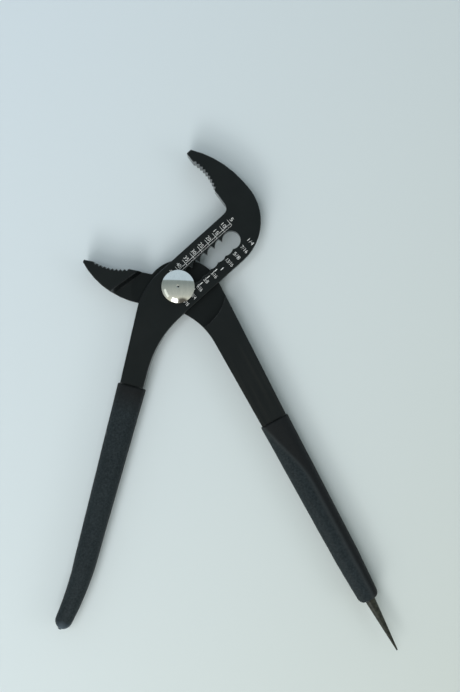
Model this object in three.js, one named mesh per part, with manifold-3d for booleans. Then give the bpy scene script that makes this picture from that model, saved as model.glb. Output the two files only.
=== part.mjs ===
// Slip joint water pump pliers with a podger spike, lying flat with the jaws wide open.
// Millimetres, +Z up. The origin is on the pivot axis, at the flat face of the rivet's tail.
// The slotted lever is drawn along its slot, the pivoting lever along its handle.

import * as THREE from 'three';
import { mergeVertices } from 'three/addons/utils/BufferGeometryUtils.js';
import Module from 'manifold-3d';

const wasm = await Module();
wasm.setup();

// Pose of the two levers at rest, in degrees
const SLOT_TILT = 42;
const HANDLE_TILT = 28.2;

// Heights: both forgings share one thickness and lap each other half and half at the joint
const FORGING_THICKNESS = 10;
const LAP_CLEARANCE = 0.3;
const TAIL_HEIGHT = 1.3;
const EDGE_ROUND = 0.6;

// Clearances: between fitted pieces, under seated pieces, and around the boss as it swings
const FIT_CLEARANCE = 0.3;
const SEAT_CLEARANCE = 0.3;
const SWING_CLEARANCE = 1.5;

// Slot: round notches at an even pitch, each closed on the jaw side by a leaning tooth
const NOTCH_COUNT = 8;
const NOTCH_PITCH = 5;
const NOTCH_RADIUS = 4.6;
const TOOTH_SIDE_WIDTH = 2.65;
const PLAIN_SIDE_WIDTH = 3.95;
const SLOT_TOOTH_LEAN = 1;
const SLOT_TOOTH_ROOT = 0.4;

// Play: the shank lies off the notch's middle, towards the handle and the teeth
const PLAY_ALONG = 0.4;
const PLAY_ACROSS = 0.35;

// Slotted lever: bar, hooked jaw and neck
const BAR_HALF_WIDTH = 11.9;
const HOOK_REACH = 59.5;
const HOOK_CORNER_RADIUS = 26.2;
const HOOK_BACK_STRAIGHT = 18;
const HOOK_TIP_HEIGHT = 46.9;
const HOOK_TIP_LAND = 2.8;
const HOOK_FACE_REACH = 47.8;
const HOOK_FACE_LEAN = 5;
const HOOK_FILLET = 4;
const HOOK_LAP_RADIUS = 18.5;

// Slotted lever's handle: its axis passes the pivot at an offset and leaves at an angle to the slot
const PLAIN_HANDLE_ANGLE = 213.1;
const PLAIN_HANDLE_OFFSET = 10.05;
const PLAIN_NECK_INNER = 6.05;
const PLAIN_NECK_OUTER_TOP = 7.15;
const PLAIN_NECK_OUTER_END = 5.85;
const CROTCH_BLEND = 16.5;
const SHOULDER_BLEND = 10.5;

// Plain grip on the slotted lever: a closed sleeve whose end bends outwards
const PLAIN_GRIP_START = 54.2;
const PLAIN_GRIP_BEND = 146;
const PLAIN_GRIP_END = 182;
const PLAIN_GRIP_MOUTH_WIDTH = 14.7;
const PLAIN_GRIP_BEND_WIDTH = 11.5;
const PLAIN_GRIP_END_WIDTH = 8.6;
const PLAIN_GRIP_END_HEIGHT = 9.5;
const PLAIN_GRIP_TURN = 12;
const PLAIN_TANG_END = 168;

// Pivoting lever: jaw, boss and lap recess
const JAW_TIP_REACH = 35.2;
const JAW_TIP_HEIGHT = 34.4;
const JAW_ROOT_REACH = 8.9;
const JAW_BACK_REACH = 36.3;
const JAW_BACK_HEIGHT = 33.6;
const JAW_BACK_RADIUS = 40.2;
const JAW_BACK_SWEEP = 58;
const BOSS_TOP = 14;
const BOSS_CROWN_SHIFT = 1;
const STEP_DISTANCE = 18.2;
const STEP_RUN = 1.3;
const STEP_TILT = 7.5;
const RECESS_RADIUS = 24;
const RECESS_FOOT = 12;

// Pivoting lever's handle runs straight beside the pivot and ends in a tapered spike
const SPIKE_HANDLE_OFFSET = 10.65;
const SPIKE_NECK_TOP_WIDTH = 16.9;
const SPIKE_NECK_END_WIDTH = 13.6;
const SPIKE_NECK_TOP = 6;
const THROAT_END = 33;
const THROAT_JAW_PULL = 14.6;
const THROAT_HANDLE_PULL = 13;
const SPIKE_ROOT_WIDTH = 5.4;
const SPIKE_TIP_WIDTH = 0.8;
const SPIKE_END = 213.6;

// Grip on the spiked handle: a sleeve open at both ends
const SPIKE_GRIP_START = 82;
const SPIKE_GRIP_TAPER = 160;
const SPIKE_GRIP_END = 184;
const SPIKE_GRIP_MOUTH_WIDTH = 15.35;
const SPIKE_GRIP_TAPER_WIDTH = 13.2;
const SPIKE_GRIP_END_WIDTH = 11;
const SPIKE_TANG_END = 174;

// Both sleeves
const GRIP_WALL = 1.5;
const GRIP_MOUTH_ROUND = 0.5;
const GRIP_CORNER = 0.9;
const PLAIN_GRIP_DOME = 4.5;
const PLAIN_GRIP_DOME_SWEEP = 80;
const DRIP_WIDTH = 2.6;
const DRIP_LENGTH = 0.8;
const SPIKE_GRIP_DOME = 3.2;
const SPIKE_GRIP_RIM = 0.7;
const TANG_CORNER = 0.35;
const TANG_ROOT = 4;

// Jaw teeth: cut across a shallow hollow in each jaw face
const TOOTH_PITCH = 2;
const TOOTH_COUNT = 9;
const TOOTH_DEPTH = 1;
const GROUND_DEPTH = 1.8;
const HOOK_TEETH_FROM_TIP = 5.3;
const HOOK_HOLLOW = 1.6;
const JAW_TEETH_FROM_TIP = 5;
const JAW_HOLLOW = 1.5;

// Rivet and the spring washer under its head
const HEAD_RADIUS = 8.25;
const HEAD_RISE = 2.6;
const HEAD_RIM = 0.9;
const HEAD_DIMPLE_RADIUS = 0.7;
const HEAD_DIMPLE_DEPTH = 0.4;
const TAIL_RADIUS = 6.4;
const TAIL_CHAMFER = 0.4;
const WASHER_RADIUS = 7.4;
const WASHER_THICKNESS = 0.8;

// Fineness of the curves
const ARC_STEP = 7.5;
const ARC_STEPS = 12;
const BEND_STEPS = 5;
const DOME_STEPS = 4;
const HEAD_STEPS = 8;
const EDGE_STEPS = 2;
const SECTION_STEPS = 5;
const ROUND_SEGMENTS = 48;
const WELD_DISTANCE = 1e-4;

// Levels that follow from the heights
const backZ = TAIL_HEIGHT;
const topZ = backZ + FORGING_THICKNESS;
const middleZ = (backZ + topZ) / 2;
const lapFloorZ = middleZ - LAP_CLEARANCE / 2;
const lapCeilingZ = middleZ + LAP_CLEARANCE / 2;
const gripThickness = 2 * middleZ;
const cutMargin = FORGING_THICKNESS;

// Sizes that follow from a fitted piece
const slotTravel = (NOTCH_COUNT - 1) * NOTCH_PITCH;
const pinRadius = NOTCH_RADIUS - FIT_CLEARANCE - Math.hypot(PLAY_ALONG, PLAY_ACROSS);
const neckLapRadius = RECESS_RADIUS + SWING_CLEARANCE;
const tangInset = GRIP_WALL + FIT_CLEARANCE;

const radians = THREE.MathUtils.degToRad;
const degrees = THREE.MathUtils.radToDeg;

// Finishes
const finish = (color, roughness, metalness) =>
  new THREE.MeshStandardMaterial({ color, roughness, metalness });
const blackenedSteel = finish(0x202425, 0.45, 0.6);
const chrome = finish(0xd6dadb, 0.08, 1);
const springSteel = finish(0x8a8d8f, 0.35, 1);
const sleeveVinyl = finish(0x262c30, 0.85, 0);

// A closed geometry as a solid that can be joined and cut
function solidOf(geometry) {
  const bare = geometry.clone();
  bare.deleteAttribute('normal');
  bare.deleteAttribute('uv');
  const welded = mergeVertices(bare, WELD_DISTANCE);
  const vertProperties = new Float32Array(welded.attributes.position.array);
  const corners = welded.index.array;
  const kept = [];
  for (let i = 0; i < corners.length; i += 3) {
    const [a, b, c] = [corners[i], corners[i + 1], corners[i + 2]];
    if (a !== b && b !== c && c !== a) kept.push(a, b, c);
  }
  const triVerts = new Uint32Array(kept);
  return new wasm.Manifold(new wasm.Mesh({ numProp: 3, vertProperties, triVerts }));
}

function geometryOf(solid) {
  const mesh = solid.getMesh();
  const positions = new Float32Array(mesh.vertProperties);
  const geometry = new THREE.BufferGeometry();
  geometry.setAttribute('position', new THREE.BufferAttribute(positions, 3));
  geometry.setIndex(new THREE.BufferAttribute(new Uint32Array(mesh.triVerts), 1));
  geometry.computeVertexNormals();
  return geometry;
}

// A flat outline raised from one height to another
function raised(shape, low, high, round = 0) {
  const geometry = new THREE.ExtrudeGeometry(shape, {
    depth: high - low - 2 * round,
    bevelEnabled: round > 0,
    bevelThickness: round,
    bevelSize: round,
    bevelOffset: -round,
    bevelSegments: EDGE_STEPS,
  });
  geometry.translate(0, 0, low + round);
  return solidOf(geometry);
}

// A solid skinned over sections with equal point counts, closed by a fan at each end
function skinned(sections) {
  const count = sections[0].length;
  const points = sections.flat();
  const triangles = [];
  for (let ring = 0; ring < sections.length - 1; ring += 1) {
    for (let i = 0; i < count; i += 1) {
      const a = ring * count + i;
      const b = ring * count + (i + 1) % count;
      triangles.push(a, b, a + count, b, b + count, a + count);
    }
  }
  const last = (sections.length - 1) * count;
  for (let i = 1; i < count - 1; i += 1) {
    triangles.push(0, i + 1, i);
    triangles.push(last, last + i, last + i + 1);
  }
  const geometry = new THREE.BufferGeometry().setFromPoints(points);
  geometry.setIndex(triangles);
  return solidOf(geometry);
}

// A section square to a handle's axis: width across the tool, height along Z, rounded corners
function section(frame, width, height, corner) {
  const points = [];
  const radius = corner * Math.min(width, height) / 2;
  const quarterCentres = [[1, 1], [-1, 1], [-1, -1], [1, -1]];
  quarterCentres.forEach(([sx, sz], quarter) => {
    for (let step = 0; step <= SECTION_STEPS; step += 1) {
      const angle = (quarter + step / SECTION_STEPS) * Math.PI / 2;
      const across = sx * (width / 2 - radius) + radius * Math.cos(angle);
      const up = sz * (height / 2 - radius) + radius * Math.sin(angle);
      const point = frame.centre.clone().addScaledVector(frame.side, across);
      points.push(new THREE.Vector3(point.x, point.y, middleZ + up));
    }
  });
  return points;
}

// The straight axis of a handle, with a turn at a constant rate past the bend
function handleAxis(angle, offset, bend, end, turn) {
  const along = new THREE.Vector2(Math.cos(radians(angle)), Math.sin(radians(angle)));
  const side = new THREE.Vector2(-along.y, along.x);
  const turnRadius = turn === 0 ? 0 : (end - bend) / radians(turn);
  return (distance) => {
    const straight = Math.min(distance, bend);
    const curved = turn === 0 ? 0 : Math.max(distance - bend, 0) / turnRadius;
    const forward = straight + turnRadius * Math.sin(curved) + (turn === 0 ? distance - straight : 0);
    const outward = turnRadius * (1 - Math.cos(curved));
    const centre = new THREE.Vector2()
      .addScaledVector(along, forward)
      .addScaledVector(side, offset - outward);
    return { centre, side: side.clone().rotateAround(new THREE.Vector2(), -curved) };
  };
}

// Points along an arc, in degrees, at an even angular step
function arcPoints(x, y, radiusX, radiusY, from, to) {
  const steps = Math.max(1, Math.ceil(Math.abs(to - from) / ARC_STEP));
  const clockwise = to < from;
  const curve = new THREE.EllipseCurve(
    x, y, radiusX, radiusY, radians(from), radians(to), clockwise);
  return curve.getPoints(steps);
}

// A corner between two straight edges, blended by a curve that leaves and meets them smoothly
function blendPoints(start, corner, end) {
  return new THREE.QuadraticBezierCurve(start, corner, end).getPoints(ARC_STEPS);
}

function disc(x, y, radius) {
  return new THREE.Shape(arcPoints(x, y, radius, radius, 0, 360).slice(0, -1));
}

function rectangle(left, low, right, high) {
  return new THREE.Shape([
    new THREE.Vector2(left, low),
    new THREE.Vector2(right, low),
    new THREE.Vector2(right, high),
    new THREE.Vector2(left, high),
  ]);
}

// Cutter for a row of teeth across a hollow in a jaw face that runs from the tip towards the root
function toothCutter(tip, root, fromTip, hollow, airSide) {
  const down = root.clone().sub(tip).normalize();
  const outward = new THREE.Vector2(-down.y, down.x).multiplyScalar(airSide);
  const length = TOOTH_COUNT * TOOTH_PITCH;
  const place = (along, depth) => tip.clone()
    .addScaledVector(down, fromTip + along)
    .addScaledVector(outward, -depth);
  const hollowAt = (along) => hollow * (1 - (2 * along / length - 1) ** 2);
  const outline = [place(0, -cutMargin), place(0, 0)];
  for (let tooth = 0; tooth < TOOTH_COUNT; tooth += 1) {
    const valley = (tooth + 0.5) * TOOTH_PITCH;
    const crest = (tooth + 1) * TOOTH_PITCH;
    outline.push(place(valley, hollowAt(valley) + TOOTH_DEPTH));
    outline.push(place(crest, hollowAt(crest)));
  }
  outline.push(place(length, -cutMargin));
  return raised(new THREE.Shape(outline), backZ - cutMargin, topZ + cutMargin);
}

// The teeth are cut after the edges are rounded, so from the first valley to the last they stay sharp
function groundFace(outline, tip, root, fromTip, airSide) {
  const down = root.clone().sub(tip).normalize();
  const inward = new THREE.Vector2(down.y, -down.x).multiplyScalar(airSide * GROUND_DEPTH);
  const first = tip.clone().addScaledVector(down, fromTip + TOOTH_PITCH / 2);
  const last = first.clone().addScaledVector(down, (TOOTH_COUNT - 1) * TOOTH_PITCH);
  const strip = new THREE.Shape([first, last, last.clone().add(inward), first.clone().add(inward)]);
  const reach = raised(strip, backZ - cutMargin, topZ + cutMargin);
  return raised(outline, backZ, topZ).intersect(reach);
}

// Slot outline: notch arcs and leaning teeth on the jaw side, shallow cusps on the plain side
function slotOutline() {
  const entry = 180 - degrees(Math.asin(TOOTH_SIDE_WIDTH / NOTCH_RADIUS));
  const toothRoot = degrees(Math.acos(SLOT_TOOTH_ROOT / NOTCH_RADIUS));
  const cusp = degrees(Math.asin(PLAIN_SIDE_WIDTH / NOTCH_RADIUS));
  const notchArc = (notch, from, to) =>
    arcPoints(notch * NOTCH_PITCH, 0, NOTCH_RADIUS, NOTCH_RADIUS, from, to);
  const last = NOTCH_COUNT - 1;
  const outline = [];
  for (let notch = 0; notch < last; notch += 1) {
    outline.push(new THREE.Vector2(notch * NOTCH_PITCH + SLOT_TOOTH_LEAN, TOOTH_SIDE_WIDTH));
    outline.push(...notchArc(notch + 1, entry, notch + 1 === last ? cusp - 180 : toothRoot));
  }
  for (let notch = last - 1; notch > 0; notch -= 1) {
    outline.push(...notchArc(notch, -cusp, cusp - 180));
  }
  outline.push(...notchArc(0, -cusp, toothRoot - 360));
  const play = new THREE.Vector2(PLAY_ALONG, -PLAY_ACROSS);
  return new THREE.Shape(outline.map((point) => point.add(play)));
}

// Section of the rivet's shank: round, with a flat that clears the slot's teeth
function shankOutline(clearance) {
  const radius = pinRadius + clearance;
  const flat = TOOTH_SIDE_WIDTH - PLAY_ACROSS - FIT_CLEARANCE + clearance;
  const corner = degrees(Math.asin(flat / radius));
  return new THREE.Shape(arcPoints(0, 0, radius, radius, 180 - corner, 360 + corner));
}

// Widths and heights of the plain grip, and of the tang inside it, along the handle
const plainAxis = handleAxis(
  PLAIN_HANDLE_ANGLE, -PLAIN_HANDLE_OFFSET, PLAIN_GRIP_BEND, PLAIN_GRIP_END, PLAIN_GRIP_TURN);
const between = (distance, from, to, first, second) =>
  THREE.MathUtils.lerp(first, second, THREE.MathUtils.clamp((distance - from) / (to - from), 0, 1));

function plainGripWidth(distance) {
  return distance < PLAIN_GRIP_BEND
    ? between(distance, PLAIN_GRIP_START, PLAIN_GRIP_BEND, PLAIN_GRIP_MOUTH_WIDTH, PLAIN_GRIP_BEND_WIDTH)
    : between(distance, PLAIN_GRIP_BEND, PLAIN_GRIP_END, PLAIN_GRIP_BEND_WIDTH, PLAIN_GRIP_END_WIDTH);
}

function plainGripHeight(distance) {
  return between(distance, PLAIN_GRIP_BEND, PLAIN_GRIP_END, gripThickness, PLAIN_GRIP_END_HEIGHT);
}

function plainSection(distance, inset, corner) {
  const width = plainGripWidth(distance) - 2 * inset;
  const height = plainGripHeight(distance) - 2 * inset;
  return section(plainAxis(distance), width, height, corner);
}

// Slotted lever: hooked jaw, bar with the toothed slot, neck and the tang inside the plain grip
function upperJawLever() {
  const along = plainAxis(0).side.clone().rotateAround(new THREE.Vector2(), Math.PI / 2).negate();
  const outward = plainAxis(0).side.clone().negate();
  const onHandle = (distance, offset) => new THREE.Vector2()
    .addScaledVector(along, distance)
    .addScaledVector(outward, PLAIN_HANDLE_OFFSET + offset);
  const neckEnd = PLAIN_GRIP_START - SEAT_CLEARANCE;
  const distanceAtHeight = (height, offset) =>
    (height - outward.y * (PLAIN_HANDLE_OFFSET + offset)) / along.y;
  const crotch = distanceAtHeight(-BAR_HALF_WIDTH, -PLAIN_NECK_INNER);
  const shoulder = distanceAtHeight(BAR_HALF_WIDTH, PLAIN_NECK_OUTER_TOP);
  const shoulderEnd = shoulder + SHOULDER_BLEND;
  const crotchCorner = onHandle(crotch, -PLAIN_NECK_INNER);
  const shoulderCorner = onHandle(shoulder, PLAIN_NECK_OUTER_TOP);
  const shifted = (point, x) => new THREE.Vector2(point.x + x, point.y);

  const faceTip = new THREE.Vector2(HOOK_FACE_REACH, HOOK_TIP_HEIGHT);
  const faceRun = (faceTip.y - BAR_HALF_WIDTH) * Math.tan(radians(HOOK_FACE_LEAN));
  const faceRoot = new THREE.Vector2(HOOK_FACE_REACH - faceRun, BAR_HALF_WIDTH);
  const upFace = faceTip.clone().sub(faceRoot).normalize();
  const faceFoot = faceRoot.clone().addScaledVector(upFace, HOOK_FILLET);
  const backRun = HOOK_REACH - faceTip.x - HOOK_TIP_LAND;
  const backRise = HOOK_TIP_HEIGHT - HOOK_BACK_STRAIGHT;
  const backRadius = (backRun ** 2 + backRise ** 2) / (2 * backRun);
  const backSweep = degrees(Math.atan2(backRise, backRadius - backRun));
  const backCentre = HOOK_REACH - backRadius;
  const cornerX = HOOK_REACH - HOOK_CORNER_RADIUS;
  const cornerY = HOOK_CORNER_RADIUS - BAR_HALF_WIDTH;

  const outline = new THREE.Shape([
    ...blendPoints(
      onHandle(crotch + CROTCH_BLEND, -PLAIN_NECK_INNER), crotchCorner, shifted(crotchCorner, CROTCH_BLEND)),
    ...arcPoints(cornerX, cornerY, HOOK_CORNER_RADIUS, HOOK_CORNER_RADIUS, -90, 0),
    ...arcPoints(backCentre, HOOK_BACK_STRAIGHT, backRadius, backRadius, 0, backSweep),
    faceTip,
    ...blendPoints(faceFoot, faceRoot, shifted(faceRoot, -HOOK_FILLET)),
    ...blendPoints(
      shifted(shoulderCorner, SHOULDER_BLEND), shoulderCorner, onHandle(shoulderEnd, PLAIN_NECK_OUTER_TOP)),
    onHandle(neckEnd, PLAIN_NECK_OUTER_END),
    onHandle(neckEnd, -PLAIN_NECK_INNER),
  ]);

  const underside = backZ - cutMargin;
  const lap = raised(disc(0, 0, neckLapRadius), underside, lapCeilingZ)
    .add(raised(rectangle(0, -neckLapRadius, slotTravel, neckLapRadius), underside, lapCeilingZ))
    .add(raised(disc(slotTravel, 0, HOOK_LAP_RADIUS), underside, lapCeilingZ));
  const slot = raised(slotOutline(), underside, topZ + cutMargin);
  const teeth = toothCutter(faceTip, faceRoot, HOOK_TEETH_FROM_TIP, HOOK_HOLLOW, -1);

  const tangStations = [neckEnd - TANG_ROOT, PLAIN_GRIP_BEND];
  for (let step = 1; step <= BEND_STEPS; step += 1) {
    tangStations.push(PLAIN_GRIP_BEND + (PLAIN_TANG_END - PLAIN_GRIP_BEND) * step / BEND_STEPS);
  }
  const tang = skinned(tangStations.map((distance) => plainSection(distance, tangInset, TANG_CORNER)));

  return raised(outline, backZ, topZ, EDGE_ROUND)
    .add(groundFace(outline, faceTip, faceRoot, HOOK_TEETH_FROM_TIP, -1))
    .subtract(lap)
    .subtract(slot)
    .subtract(teeth)
    .add(tang);
}

// Plain grip: a sleeve with a closed, domed end and a drip on it, following the bend of the handle
function plainGrip() {
  const domeStart = PLAIN_GRIP_END - PLAIN_GRIP_DOME;
  const mouth = PLAIN_GRIP_START + GRIP_MOUTH_ROUND;
  const outer = [
    plainSection(PLAIN_GRIP_START, GRIP_MOUTH_ROUND, GRIP_CORNER),
    plainSection(mouth, 0, GRIP_CORNER),
    plainSection(PLAIN_GRIP_BEND, 0, GRIP_CORNER),
  ];
  for (let step = 1; step <= BEND_STEPS; step += 1) {
    const distance = PLAIN_GRIP_BEND + (domeStart - PLAIN_GRIP_BEND) * step / BEND_STEPS;
    outer.push(plainSection(distance, 0, GRIP_CORNER));
  }
  for (let step = 1; step <= DOME_STEPS; step += 1) {
    const angle = radians(PLAIN_GRIP_DOME_SWEEP) * step / DOME_STEPS;
    const distance = domeStart + PLAIN_GRIP_DOME * Math.sin(angle);
    const inset = plainGripWidth(distance) / 2 * (1 - Math.cos(angle));
    outer.push(plainSection(distance, inset, GRIP_CORNER));
  }
  const dripEnd = PLAIN_GRIP_END + DRIP_LENGTH;
  outer.push(section(plainAxis(PLAIN_GRIP_END), DRIP_WIDTH, DRIP_WIDTH, 1));
  outer.push(section(plainAxis(dripEnd), DRIP_WIDTH / 2, DRIP_WIDTH / 2, 1));
  const boreStations = [PLAIN_GRIP_START - cutMargin, PLAIN_GRIP_START, PLAIN_GRIP_BEND];
  const boreEnd = PLAIN_TANG_END + FIT_CLEARANCE;
  for (let step = 1; step <= BEND_STEPS; step += 1) {
    boreStations.push(PLAIN_GRIP_BEND + (boreEnd - PLAIN_GRIP_BEND) * step / BEND_STEPS);
  }
  const bore = skinned(boreStations.map((distance) => plainSection(distance, GRIP_WALL, TANG_CORNER)));
  return skinned(outer).subtract(bore);
}

// The spiked handle hangs straight down beside the pivot
const spikeAxis = handleAxis(270, SPIKE_HANDLE_OFFSET, SPIKE_END, SPIKE_END, 0);

function spikeGripWidth(distance) {
  return distance < SPIKE_GRIP_TAPER
    ? between(distance, SPIKE_GRIP_START, SPIKE_GRIP_TAPER, SPIKE_GRIP_MOUTH_WIDTH, SPIKE_GRIP_TAPER_WIDTH)
    : between(distance, SPIKE_GRIP_TAPER, SPIKE_GRIP_END, SPIKE_GRIP_TAPER_WIDTH, SPIKE_GRIP_END_WIDTH);
}

function spikeGripHeight(distance) {
  return between(distance, SPIKE_GRIP_TAPER, SPIKE_GRIP_END, gripThickness, SPIKE_GRIP_END_WIDTH);
}

function spikeWidth(distance) {
  return between(distance, SPIKE_GRIP_END, SPIKE_END, SPIKE_ROOT_WIDTH, SPIKE_TIP_WIDTH);
}

function sleeveSection(distance, inset, corner) {
  const width = spikeGripWidth(distance) - 2 * inset;
  const height = spikeGripHeight(distance) - 2 * inset;
  return section(spikeAxis(distance), width, height, corner);
}

function roundSection(distance, diameter) {
  return section(spikeAxis(distance), diameter, diameter, 1);
}

// Pivoting lever: jaw, boss with the lap recess and keyed hole, neck, tang and spike
function lowerJawLever() {
  const neckEnd = SPIKE_GRIP_START - SEAT_CLEARANCE;
  const neckHalf = (depth) => THREE.MathUtils.mapLinear(
    depth, SPIKE_NECK_TOP, neckEnd, SPIKE_NECK_TOP_WIDTH, SPIKE_NECK_END_WIDTH) / 2;
  const onNeck = (depth, side) =>
    new THREE.Vector2(SPIKE_HANDLE_OFFSET + side * neckHalf(depth), -depth);

  const bossReach = onNeck(SPIKE_NECK_TOP, 1).x + BOSS_CROWN_SHIFT;
  const bossRise = BOSS_TOP + SPIKE_NECK_TOP;
  const rootAngle = degrees(Math.acos((BOSS_CROWN_SHIFT - JAW_ROOT_REACH) / bossReach));
  const boss = arcPoints(-BOSS_CROWN_SHIFT, -SPIKE_NECK_TOP, bossReach, bossRise, 0, rootAngle);
  const faceRoot = boss.at(-1);
  const faceTip = new THREE.Vector2(-JAW_TIP_REACH, JAW_TIP_HEIGHT);

  const backX = JAW_BACK_RADIUS - JAW_BACK_REACH;
  const back = arcPoints(
    backX, JAW_BACK_HEIGHT, JAW_BACK_RADIUS, JAW_BACK_RADIUS, 180, 180 + JAW_BACK_SWEEP);
  const throatStart = back.at(-1);
  const throatEnd = onNeck(THROAT_END, -1);
  const leaving = radians(270 + JAW_BACK_SWEEP);
  const jawPull = new THREE.Vector2(Math.cos(leaving), Math.sin(leaving)).multiplyScalar(THROAT_JAW_PULL);
  const throat = new THREE.CubicBezierCurve(
    throatStart,
    throatStart.clone().add(jawPull),
    onNeck(THROAT_END - THROAT_HANDLE_PULL, -1),
    throatEnd,
  ).getPoints(ARC_STEPS);

  const outline = new THREE.Shape([
    ...boss,
    faceTip,
    ...back,
    ...throat.slice(1),
    onNeck(neckEnd, -1),
    onNeck(neckEnd, 1),
  ]);

  const above = topZ + cutMargin;
  const reach = JAW_BACK_REACH + cutMargin;
  const stepFoot = STEP_DISTANCE - STEP_RUN;
  const jawSide = new THREE.Shape([
    new THREE.Vector2(stepFoot, lapFloorZ - cutMargin),
    new THREE.Vector2(reach, lapFloorZ - cutMargin),
    new THREE.Vector2(reach, above + cutMargin),
    new THREE.Vector2(STEP_DISTANCE, above + cutMargin),
    new THREE.Vector2(STEP_DISTANCE, topZ),
    new THREE.Vector2(stepFoot, lapFloorZ),
  ]);
  const jawKept = new THREE.ExtrudeGeometry(jawSide, { depth: 2 * reach, bevelEnabled: false })
    .translate(0, 0, -reach)
    .applyMatrix4(new THREE.Matrix4().makeBasis(
      new THREE.Vector3(0, 1, 0), new THREE.Vector3(0, 0, 1), new THREE.Vector3(1, 0, 0)))
    .rotateZ(radians(STEP_TILT));
  const recess = raised(disc(0, 0, RECESS_RADIUS), lapFloorZ, above)
    .add(raised(rectangle(-reach, -RECESS_FOOT, 0, reach), lapFloorZ, above))
    .subtract(solidOf(jawKept));

  const keyed = raised(shankOutline(FIT_CLEARANCE), backZ - cutMargin, above);
  const keyTurn = SLOT_TILT - HANDLE_TILT;
  const hole = keyed.rotate([0, 0, keyTurn]);
  const teeth = toothCutter(faceTip, faceRoot, JAW_TEETH_FROM_TIP, JAW_HOLLOW, 1);

  const tang = skinned([
    sleeveSection(neckEnd - TANG_ROOT, tangInset, TANG_CORNER),
    sleeveSection(SPIKE_GRIP_TAPER, tangInset, TANG_CORNER),
    sleeveSection(SPIKE_TANG_END, tangInset, TANG_CORNER),
  ]);
  const spike = skinned([
    roundSection(SPIKE_TANG_END - TANG_ROOT, SPIKE_ROOT_WIDTH),
    roundSection(SPIKE_GRIP_END, SPIKE_ROOT_WIDTH),
    roundSection(SPIKE_END, SPIKE_TIP_WIDTH),
  ]);

  return raised(outline, backZ, topZ, EDGE_ROUND)
    .add(groundFace(outline, faceTip, faceRoot, JAW_TEETH_FROM_TIP, 1))
    .subtract(recess)
    .subtract(hole)
    .subtract(teeth)
    .add(tang)
    .add(spike);
}

// Grip on the spiked handle: a sleeve whose rounded end closes in on the spike
function spikeGrip() {
  const domeStart = SPIKE_GRIP_END - SPIKE_GRIP_DOME;
  const spikeBore = SPIKE_ROOT_WIDTH + 2 * FIT_CLEARANCE;
  const outer = [
    sleeveSection(SPIKE_GRIP_START, GRIP_MOUTH_ROUND, GRIP_CORNER),
    sleeveSection(SPIKE_GRIP_START + GRIP_MOUTH_ROUND, 0, GRIP_CORNER),
    sleeveSection(SPIKE_GRIP_TAPER, 0, GRIP_CORNER),
    sleeveSection(domeStart, 0, GRIP_CORNER),
  ];
  const domeInset = (SPIKE_GRIP_END_WIDTH - spikeBore) / 2 - SPIKE_GRIP_RIM;
  for (let step = 1; step <= DOME_STEPS; step += 1) {
    const angle = radians(90) * step / DOME_STEPS;
    const distance = domeStart + SPIKE_GRIP_DOME * Math.sin(angle);
    outer.push(sleeveSection(distance, domeInset * (1 - Math.cos(angle)), GRIP_CORNER));
  }
  const tangBore = skinned([
    sleeveSection(SPIKE_GRIP_START - cutMargin, GRIP_WALL, TANG_CORNER),
    sleeveSection(SPIKE_GRIP_START, GRIP_WALL, TANG_CORNER),
    sleeveSection(SPIKE_GRIP_TAPER, GRIP_WALL, TANG_CORNER),
    sleeveSection(SPIKE_TANG_END + FIT_CLEARANCE, GRIP_WALL, TANG_CORNER),
  ]);
  const endBore = skinned([
    roundSection(SPIKE_TANG_END, spikeBore),
    roundSection(SPIKE_GRIP_END + cutMargin, spikeBore),
  ]);
  return skinned(outer).subtract(tangBore).subtract(endBore);
}

// A turned piece: a profile of radius and height, revolved about Z
function turned(profile) {
  const points = profile.map(([radius, height]) => new THREE.Vector2(radius, height));
  return solidOf(new THREE.LatheGeometry(points, ROUND_SEGMENTS).rotateX(Math.PI / 2));
}

const washerSeatZ = topZ + SEAT_CLEARANCE;
const headSeatZ = washerSeatZ + WASHER_THICKNESS + SEAT_CLEARANCE;

// Rivet: domed head with a centre dimple, flatted shank, and a tail set against the pivoting lever
function pivotRivet() {
  const tailTop = backZ - SEAT_CLEARANCE;
  const rimZ = headSeatZ + HEAD_RIM;
  const crownZ = rimZ + HEAD_RISE;
  const domeRadius = (HEAD_RADIUS ** 2 + HEAD_RISE ** 2) / (2 * HEAD_RISE);
  const domeHeight = (radius) => crownZ - domeRadius + Math.sqrt(domeRadius ** 2 - radius ** 2);
  const head = [[0, headSeatZ], [HEAD_RADIUS, headSeatZ]];
  for (let step = 0; step <= HEAD_STEPS; step += 1) {
    const radius = THREE.MathUtils.lerp(HEAD_RADIUS, HEAD_DIMPLE_RADIUS, step / HEAD_STEPS);
    head.push([radius, domeHeight(radius)]);
  }
  head.push([0, domeHeight(HEAD_DIMPLE_RADIUS) - HEAD_DIMPLE_DEPTH]);
  const tail = [
    [0, 0],
    [TAIL_RADIUS - TAIL_CHAMFER, 0],
    [TAIL_RADIUS, TAIL_CHAMFER],
    [TAIL_RADIUS, tailTop],
    [0, tailTop],
  ];
  const shank = raised(shankOutline(0), tailTop / 2, rimZ);
  return turned(head).add(shank).add(turned(tail));
}

// Spring washer between the rivet's head and the slotted lever
function springWasher() {
  const bore = pinRadius + FIT_CLEARANCE;
  const top = washerSeatZ + WASHER_THICKNESS;
  return turned([
    [bore, washerSeatZ],
    [WASHER_RADIUS, washerSeatZ],
    [WASHER_RADIUS, top],
    [bore, top],
    [bore, washerSeatZ],
  ]);
}

function piece(name, solid, material) {
  const mesh = new THREE.Mesh(geometryOf(solid), material);
  mesh.name = name;
  return mesh;
}

const pivotingLever = new THREE.Group();
pivotingLever.rotation.z = radians(HANDLE_TILT - SLOT_TILT);
const rivet = piece('pivot_rivet', pivotRivet(), chrome);
rivet.rotation.z = radians(SLOT_TILT - HANDLE_TILT);
pivotingLever.add(
  piece('lower_jaw_lever', lowerJawLever(), blackenedSteel),
  piece('spike_grip', spikeGrip(), sleeveVinyl),
  rivet,
);

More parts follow.
